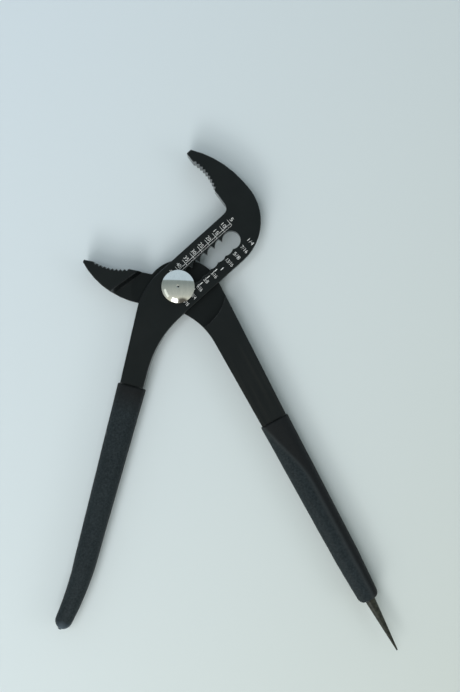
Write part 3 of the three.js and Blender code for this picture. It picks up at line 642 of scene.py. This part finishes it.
# Grip on the spiked handle: the same vinyl as a sleeve that is open at both ends,
# pushed over the handle until its rounded end closes in on the spike.
SPIKE_START, SPIKE_TAPER, SPIKE_END = 0.082, 0.16, 0.184
SPIKE_WIDTHS = (0.01535, 0.0132, 0.011)
SPIKE_DOME = 0.0032
SPIKE_BORE = 0.006
SPIKE_RIM = 0.0007
SPIKE_TANG_END = 0.1743
SPIKE_BORE_FROM = SPIKE_START - 0.004
END_BORE_FROM, END_BORE_TO, END_BORE_CORNER = 0.174, 0.19, 0.98
SPIKE_HEADING, SPIKE_OFFSET = math.radians(28.2 - 90), 0.01065
SLANT_LEAN, SLANT_FROM, SLANT_FULL = 0.3, 0.0193, 0.022
LEFT_FROM, LEFT_FULL = -0.0142, -0.0112
SHEEN_LINE_COLOUR = (0.036, 0.0425, 0.0457, 1)


def spike_station(distance, inset):
    if distance <= SPIKE_TAPER:
        share = max(0.0, (distance - SPIKE_START) / (SPIKE_TAPER - SPIKE_START))
        width = SPIKE_WIDTHS[0] + (SPIKE_WIDTHS[1] - SPIKE_WIDTHS[0]) * share
        height = GRIP_HEIGHT
    else:
        share = min(1.0, (distance - SPIKE_TAPER) / (SPIKE_END - SPIKE_TAPER))
        width = SPIKE_WIDTHS[1] + (SPIKE_WIDTHS[2] - SPIKE_WIDTHS[1]) * share
        height = GRIP_HEIGHT + (SPIKE_WIDTHS[2] - GRIP_HEIGHT) * share
    return distance, 0.0, 0.0, width - 2 * inset, height - 2 * inset


dome_start = SPIKE_END - SPIKE_DOME
rim_inset = (SPIKE_WIDTHS[2] - SPIKE_BORE) / 2 - SPIKE_RIM
spike_rings = eased_mouth(SPIKE_START, SPIKE_WIDTHS[0], GRIP_HEIGHT)
for distance in between(SPIKE_START + GRIP_LIP, dome_start, 34):
    spike_rings.append(spike_station(distance, 0))
for turn in between(0.0, math.radians(90), 8):
    distance = dome_start + SPIKE_DOME * math.sin(turn)
    spike_rings.append(spike_station(distance, rim_inset * (1 - math.cos(turn))))

spike_bore = [spike_station(distance, GRIP_WALL) for distance in (
    SPIKE_BORE_FROM, SPIKE_START, SPIKE_TAPER, SPIKE_TANG_END)]
end_bore = [(distance, 0.0, 0.0, SPIKE_BORE, SPIKE_BORE) for distance in (
    END_BORE_FROM, END_BORE_TO)]
spike_grip = dipped_sleeve(
    "spike_grip_sleeve", spike_rings, [(TANG_CORNER, spike_bore), (END_BORE_CORNER, end_bore)],
    SPIKE_HEADING, SPIKE_OFFSET)

# Painted light: past a slanting line the sleeve's left side gets the lighter colour and the rest
# the darker colour without sheen, with a painted sheen line along the border.
spike_vinyl, tree, shader, colour, rough = dipped_vinyl("Dipped vinyl, painted light on one side")
side_normal = (SPIKE_DIRECTION[1], -SPIKE_DIRECTION[0], 0.0)
slant = tuple(SLANT_LEAN * along + side for along, side in zip(SPIKE_DIRECTION, side_normal))
past_slant = reached(tree, (-1500, -900), slant, SLANT_FROM, SLANT_FULL)
left_side = reached(tree, (-1500, -1200), side_normal, LEFT_FROM, LEFT_FULL)
rubbed_and_lit_mask = multiplied(tree, (-900, -1000), past_slant, left_side)
colour = mix_colour(tree, (-450, 300), rubbed_and_lit_mask, VINYL_WITHOUT_SHEEN, colour)
sheen_line = add_node(tree, "ShaderNodeMath", (-700, -1000))
sheen_line.operation = "PINGPONG"
sheen_line.inputs[1].default_value = 0.5
tree.links.new(rubbed_and_lit_mask, sheen_line.inputs[0])
colour = mix_colour(tree, (-250, 300), sheen_line.outputs["Value"], colour, SHEEN_LINE_COLOUR)
tree.links.new(colour, shader.inputs["Base Color"])
tree.links.new(rough, shader.inputs["Roughness"])
dress(spike_grip, spike_vinyl)
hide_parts("spike_grip")
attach(spike_grip, "pivoting_lever")


# Jaw scale: a millimetre ladder above the slot and inch fractions below it, printed
# in white on the bar's face. Each mark gives the jaw opening for the rivet's notch.
PRINT_LEVEL = 0.0113
PRINT_DEPTH = 0.00004
BAR_TILT = math.radians(42)
LADDER_LOW, LADDER_HIGH, LADDER_LONG = 0.005, 0.0062, 0.0086
LADDER_FIRST, LADDER_LENGTH = 0.0405, 0.041
LADDER_PITCH, LADDER_TICKS, TICKS_PER_NUMBER = 0.001, 42, 5
UPPER_LINE, LOWER_LINE = 0.00014, 0.00009
LONG_TICK, SHORT_TICK = 0.00014, 0.000015
NUMBER_SIZE, NUMBER_SHIFT = 0.0029, 0.0018
NUMBER_LEVEL, NUMBER_LENGTH = 0.0079, 0.0023
FIRST_NUMBER_LEVEL, FIRST_NUMBER_LENGTH = 0.0071, 0.0014
FRACTION_FIRST, FRACTION_PITCH, FRACTION_SIZE = 0.0419, 0.00493, 0.0028
WHOLE_INCH_LEVEL, WHOLE_INCH_LENGTH = -0.0064, 0.0003
SMALL_FRACTIONS = (
    ("1/4", -0.0073, 0.0034), ("7/16", -0.0081, 0.0042), ("5/8", -0.008, 0.004),
    ("13/16", -0.008, 0.0043), ("1", -0.008, 0.0003))
FRACTIONS_PAST_AN_INCH = (
    ("3/16", -0.0076, 0.0034), ("3/8", -0.007, 0.0025), ("9/16", -0.0076, 0.0034),
    ("3/4", -0.0088, 0.0025), ("15/16", -0.0082, 0.0036))
STROKE_THINNING = 0.000045
INK_THIN, INK_FULL = (0.8, 0.83, 0.84, 1), (0.93, 0.95, 0.96, 1)
INK_SMOOTH, INK_ROUGH = 0.5, 0.7

print_pieces = []


def printed_bar(x, y, length, height):
    foot = (x, y, PRINT_LEVEL - PRINT_DEPTH)
    bpy.ops.object.select_all(action="DESELECT")
    bpy.ops.mesh.primitive_plane_add(size=1, location=foot)
    piece = edit_new(f"print_bar_{len(print_pieces)}")
    bpy.ops.transform.resize(value=(length, height, 1), center_override=foot)
    bpy.ops.mesh.extrude_region_move(TRANSFORM_OT_translate={"value": (0, 0, 2 * PRINT_DEPTH)})
    close_edit()
    apply_place()
    print_pieces.append(piece)


def printed_number(words, x, y, size, length):
    bpy.ops.object.select_all(action="DESELECT")
    bpy.ops.object.text_add(location=(0, 0, 0))
    piece = bpy.context.active_object
    piece.name = f"print_number_{len(print_pieces)}"
    piece.data.body = words
    piece.data.align_x = "CENTER"
    piece.data.align_y = "CENTER"
    piece.data.size = size
    piece.data.resolution_u = 3
    piece.data.extrude = PRINT_DEPTH
    piece.data.offset = -STROKE_THINNING
    bpy.ops.object.convert(target="MESH")
    piece = bpy.context.active_object
    piece.scale = (length / piece.dimensions.x, 1, 1)
    piece.rotation_euler = (0, 0, -math.pi / 2)
    piece.location = (x, y, PRINT_LEVEL)
    apply_place()
    print_pieces.append(piece)


for level, width in ((LADDER_LOW, LOWER_LINE), (LADDER_HIGH, UPPER_LINE)):
    printed_bar(LADDER_FIRST - LADDER_LENGTH / 2, level, LADDER_LENGTH, width)
for count in range(LADDER_TICKS):
    long_tick = count % TICKS_PER_NUMBER == 0
    top, width = (LADDER_LONG, LONG_TICK) if long_tick else (LADDER_HIGH, SHORT_TICK)
    x = LADDER_FIRST - count * LADDER_PITCH
    printed_bar(x, (LADDER_LOW + top) / 2, width, top - LADDER_LOW)
number_first = LADDER_FIRST + NUMBER_SHIFT
printed_number(
    str(TICKS_PER_NUMBER), number_first, FIRST_NUMBER_LEVEL, NUMBER_SIZE, FIRST_NUMBER_LENGTH)
for count in range(1, LADDER_TICKS // TICKS_PER_NUMBER + 1):
    x = number_first - count * TICKS_PER_NUMBER * LADDER_PITCH
    printed_number(
        str(TICKS_PER_NUMBER * (count + 1)), x, NUMBER_LEVEL, NUMBER_SIZE, NUMBER_LENGTH)

for count, (words, y, length) in enumerate(SMALL_FRACTIONS):
    printed_number(words, FRACTION_FIRST - count * FRACTION_PITCH, y, FRACTION_SIZE, length)
for count, (words, y, length) in enumerate(FRACTIONS_PAST_AN_INCH, start=len(SMALL_FRACTIONS)):
    x = FRACTION_FIRST - count * FRACTION_PITCH
    printed_number(words, x, y, FRACTION_SIZE, length)
    printed_number(
        "1", x + FRACTION_SIZE * 0.75, WHOLE_INCH_LEVEL, FRACTION_SIZE, WHOLE_INCH_LENGTH)

only(print_pieces[0])
for piece in print_pieces[1:]:
    piece.select_set(True)
bpy.ops.object.join()
scale_print = bpy.context.active_object
scale_print.name = "jaw_scale_print"
scale_print.data.transform(Matrix.Rotation(BAR_TILT, 4, "Z"))

print_white, tree, shader = new_material("White print")
grain = use_group(tree, grain_group, (-700, 0), Fine=2500.0, Broad=600.0)
colour = mix_colour(tree, (-300, 200), grain.outputs["Broad"], INK_THIN, INK_FULL)
rough = ranged(tree, (-300, -100), grain.outputs["Fine"], INK_SMOOTH, INK_ROUGH)
tree.links.new(colour, shader.inputs["Base Color"])
tree.links.new(rough, shader.inputs["Roughness"])
dress(scale_print, print_white)
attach(scale_print, "slotted_lever")


# Bench and light: a pale blue-grey sheet under a soft overhead lamp, with soft keys in
# front and fills at both sides, in a room with a cool window beyond the jaws and warm
# walls. The room is laid out by the half vector, so its edges show straight on the rivet.
FLOOR_SIZE = 6.0
SHEET_LIT_COOL, SHEET_SHADED_WARM = (0.682, 0.766, 0.838, 1), (0.59, 0.638, 0.618, 1)
SHEET_FALLOFF, SHEET_LIT_AT, SHEET_SHADED_AT = (0.75, -0.66, 0.0), -0.15, 0.25
SILL_NORMAL = (0.03, 1.0, 0.0)
STAND_SQUEEZE, STAND_MIDDLE = (0.6, 1.0, 0.0), (0.078, -0.48, 0.0)
BACK_WALL, FRONT_WALL = (0.27, 0.31, 0.29, 1), (0.62, 0.63, 0.55, 1)
WINDOW_LIGHT, BENCH_STRIP = (0.58, 0.69, 0.75, 1), (0.72, 0.71, 0.58, 1)
STAND_SHADE = (0.12, 0.11, 0.09, 1)
ROOM_LIGHT, ROOM_MIRRORED = 0.8, 1.0

bpy.ops.object.select_all(action="DESELECT")
bpy.ops.mesh.primitive_plane_add(size=FLOOR_SIZE, location=(0, 0, 0))
bench = bpy.context.active_object
bench.name = "bench_sheet"
# The sheet's colour carries a painted falloff of the light: cooler and lighter towards the upper
# left, warmer and darker towards the lower right.
paper, tree, shader = new_material("Pale sheet")
place = add_node(tree, "ShaderNodeTexCoord", (-1100, 0))
across = add_node(tree, "ShaderNodeVectorMath", (-900, 0))
across.operation = "DOT_PRODUCT"
across.inputs[1].default_value = SHEET_FALLOFF
painted_falloff = add_node(
    tree, "ShaderNodeMapRange", (-700, 0), From_Min=SHEET_LIT_AT, From_Max=SHEET_SHADED_AT)
tree.links.new(place.outputs["Object"], across.inputs[0])
tree.links.new(across.outputs["Value"], painted_falloff.inputs["Value"])
colour = mix_colour(tree, (-300, 200), painted_falloff.outputs["Result"], SHEET_LIT_COOL, SHEET_SHADED_WARM)
tree.links.new(colour, shader.inputs["Base Color"])
shader.inputs["Roughness"].default_value = 0.7
shader.inputs["Specular IOR Level"].default_value = 0.1
dress(bench, paper)


def panel(name, place, width, height, radiance, colour, mirrored):
    lamp = bpy.data.lights.new(name, "AREA")
    lamp.shape = "RECTANGLE"
    lamp.size = width
    lamp.size_y = height
    lamp.energy = radiance * math.pi * width * height
    lamp.color = colour
    holder = bpy.data.objects.new(name, lamp)
    bpy.context.scene.collection.objects.link(holder)
    holder.location = place
    holder.visible_glossy = mirrored
    holder.rotation_euler = (-Vector(place)).to_track_quat("-Z", "Y").to_euler()


panel("overhead", (-0.38, 0.04, 1.3), 0.5, 0.5, 5.4, (0.97, 0.98, 1.0), False)
panel("soft_key", (-0.3, -0.8, 0.85), 0.8, 0.8, 2.45, (0.99, 0.99, 1.0), False)
panel("low_key", (-0.25, -0.8, 0.55), 0.36, 0.26, 6.0, (1.0, 1.0, 0.97), True)
panel("left_fill", (-0.81, -0.373, 0.573), 0.55, 0.2, 0.55, (0.95, 1.0, 0.9), True)
panel("right_fill", (0.85, -0.2, 0.5), 0.5, 0.3, 2.1, (0.97, 0.99, 1.0), False)

world = bpy.data.worlds.new("Room")
bpy.context.scene.world = world
world.use_nodes = True
tree = world.node_tree
room = tree.nodes["Background"]
place = add_node(tree, "ShaderNodeTexCoord", (-1300, 0))
lifted = add_node(tree, "ShaderNodeVectorMath", (-1100, 0))
lifted.operation = "ADD"
lifted.inputs[1].default_value = (0, 0, 1)
halfway = add_node(tree, "ShaderNodeVectorMath", (-900, 0))
halfway.operation = "NORMALIZE"
sides = add_node(tree, "ShaderNodeSeparateXYZ", (-700, 0))
tree.links.new(place.outputs["Generated"], lifted.inputs[0])
tree.links.new(lifted.outputs["Vector"], halfway.inputs[0])
tree.links.new(halfway.outputs["Vector"], sides.inputs["Vector"])
sill = add_node(tree, "ShaderNodeVectorMath", (-700, 300))
sill.operation = "DOT_PRODUCT"
sill.inputs[1].default_value = SILL_NORMAL
tree.links.new(halfway.outputs["Vector"], sill.inputs[0])
window = add_node(tree, "ShaderNodeMapRange", (-450, 200), From_Min=0.232, From_Max=0.258)
front = add_node(tree, "ShaderNodeMapRange", (-450, -100), From_Min=0.15, From_Max=-0.4)
strip = add_node(tree, "ShaderNodeMapRange", (-450, -400), From_Min=-0.27, From_Max=-0.42)
tree.links.new(sill.outputs["Value"], window.inputs["Value"])
for mask in (front, strip):
    tree.links.new(sides.outputs["Y"], mask.inputs["Value"])
stand_shape = add_node(tree, "ShaderNodeVectorMath", (-900, -600))
stand_shape.operation = "MULTIPLY"
stand_shape.inputs[1].default_value = STAND_SQUEEZE
stand_gap = add_node(tree, "ShaderNodeVectorMath", (-700, -600))
stand_gap.operation = "DISTANCE"
stand_gap.inputs[1].default_value = STAND_MIDDLE
stand = add_node(tree, "ShaderNodeMapRange", (-450, -600), From_Min=0.14, From_Max=0.07)
tree.links.new(halfway.outputs["Vector"], stand_shape.inputs[0])
tree.links.new(stand_shape.outputs["Vector"], stand_gap.inputs[0])
tree.links.new(stand_gap.outputs["Value"], stand.inputs["Value"])
walls = mix_colour(tree, (-200, 0), front.outputs["Result"], BACK_WALL, FRONT_WALL)
walls = mix_colour(tree, (0, 0), window.outputs["Result"], walls, WINDOW_LIGHT)
walls = mix_colour(tree, (200, 0), strip.outputs["Result"], walls, BENCH_STRIP)
walls = mix_colour(tree, (400, 0), stand.outputs["Result"], walls, STAND_SHADE)
tree.links.new(walls, room.inputs["Color"])
ray = add_node(tree, "ShaderNodeLightPath", (-200, -300))
strength = ranged(tree, (0, -300), ray.outputs["Is Glossy Ray"], ROOM_LIGHT, ROOM_MIRRORED)
tree.links.new(strength, room.inputs["Strength"])


# Camera: straight above the middle of the view, at about arm's length.
VIEW_MIDDLE = (0.02585, -0.0296)
VIEW_HEIGHT = 0.346
VIEW_DISTANCE = 0.45
SENSOR_HEIGHT = 36.0
CLIP_START = 0.01

lens = bpy.data.cameras.new("photo_view")
lens.sensor_fit = "VERTICAL"
lens.sensor_height = SENSOR_HEIGHT
lens.lens = SENSOR_HEIGHT * VIEW_DISTANCE / VIEW_HEIGHT
lens.clip_start = CLIP_START
camera = bpy.data.objects.new("photo_view", lens)
bpy.context.scene.collection.objects.link(camera)
camera.location = (VIEW_MIDDLE[0], VIEW_MIDDLE[1], PRINT_LEVEL + VIEW_DISTANCE)
bpy.context.scene.camera = camera
